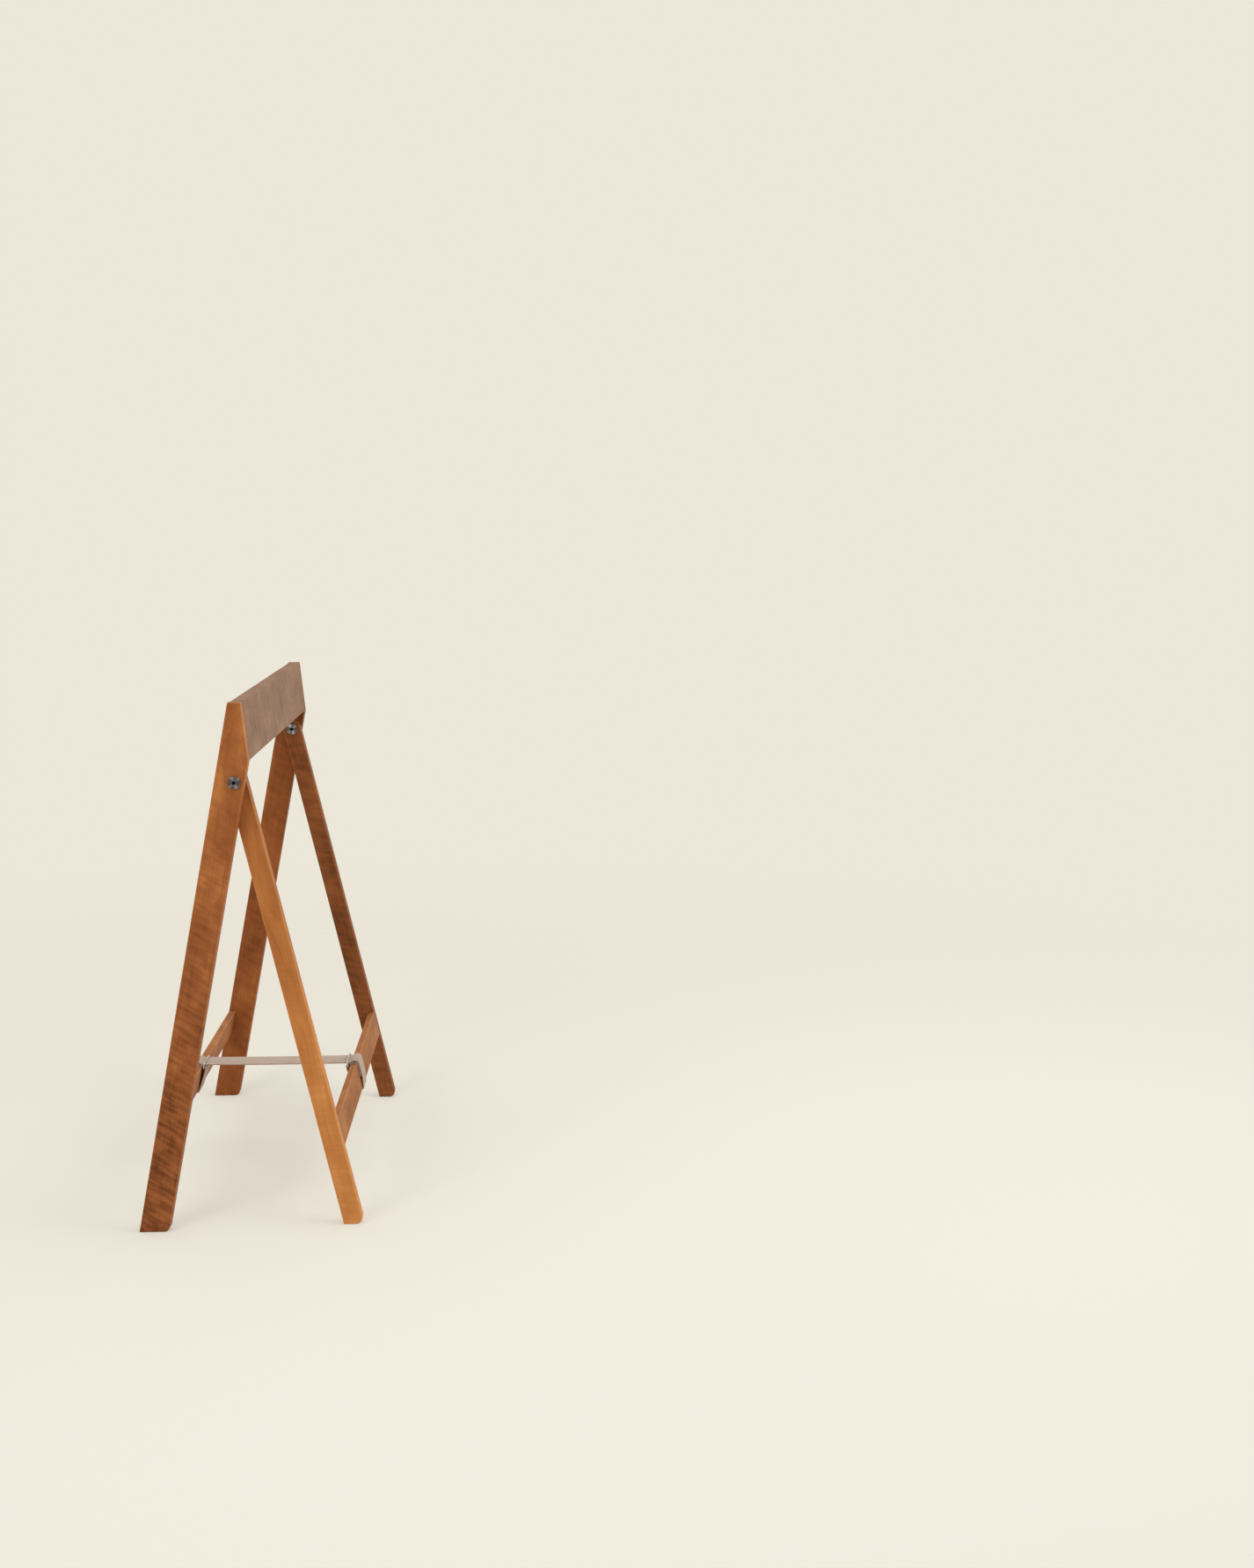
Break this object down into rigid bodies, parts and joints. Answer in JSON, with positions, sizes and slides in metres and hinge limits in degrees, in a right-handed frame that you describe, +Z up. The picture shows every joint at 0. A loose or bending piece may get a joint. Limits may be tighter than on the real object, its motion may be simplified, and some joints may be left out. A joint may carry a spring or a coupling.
{
  "type": "sawhorse",
  "caption": "Folding wooden trestle: an outer frame under a narrow top beam, a slimmer inner frame pivoted on bolts, and a webbing strap between the stretchers that stops the legs.",
  "frame": {"origin": "middle of the footprint, on the floor", "axes": "+Z up, +Y along the beam towards the rear, +X the way the inner frame's feet stand out"},
  "size_m": [0.2914, 0.655, 0.7],
  "materials": {
    "stained_birch": "satin varnish over a tan stain",
    "pale_birch": "satin varnish, paler and pinker",
    "greyed_walnut": "matte, grey-brown",
    "beech_dowel": "bare, fluted",
    "nickel_steel": "turned, nickel plated",
    "zinc_steel": "zinc plated",
    "webbing": "woven cotton, matte",
    "nickel_wire": "polished wire"
  },
  "bodies": {
    "outer_frame": {"outer_leg_front": "stained_birch", "outer_leg_rear": "stained_birch", "top_beam": "greyed_walnut", "outer_stretcher": "pale_birch", "beam_dowels": "beech_dowel", "outer_stretcher_dowels": "beech_dowel", "pivot_bolt_front": "nickel_steel", "pivot_bolt_rear": "nickel_steel", "pivot_nut_front": "nickel_steel", "pivot_nut_rear": "nickel_steel", "pivot_washer_front": "zinc_steel", "pivot_washer_rear": "zinc_steel", "strap_loop_outer": "webbing", "strap_ring_outer": "nickel_wire"},
    "inner_frame": {"inner_leg_front": "stained_birch", "inner_leg_rear": "stained_birch", "inner_stretcher": "pale_birch", "inner_stretcher_dowels": "beech_dowel", "strap_loop_inner": "webbing", "strap_ring_inner": "nickel_wire"},
    "strap_outer_half": {"strap_run_outer": "webbing"},
    "strap_inner_half": {"strap_run_inner": "webbing"}
  },
  "joints": [
    {"name": "fold", "type": "hinge", "parent": "outer_frame", "child": "inner_frame", "pos_m": [-0.00464, 0, 0.5975], "axis": [0, 1, 0], "range_deg": [0, 24]},
    {"name": "strap_drop", "type": "hinge", "parent": "outer_frame", "child": "strap_outer_half", "pos_m": [-0.10366, 0, 0.139], "axis": [0, 1, 0], "range_deg": [0, 101], "deforming": ["strap_run_outer"]},
    {"name": "strap_fold", "type": "hinge", "parent": "strap_outer_half", "child": "strap_inner_half", "pos_m": [-0.00121, 0, 0.14315], "axis": [0, 1, 0], "range_deg": [-180, 0], "deforming": ["strap_run_inner"]}
  ],
  "couplings": [
    {"joint": "strap_drop", "follows": "fold", "ratio": 4.2024},
    {"joint": "strap_fold", "follows": "fold", "ratio": -7.4964}
  ]
}
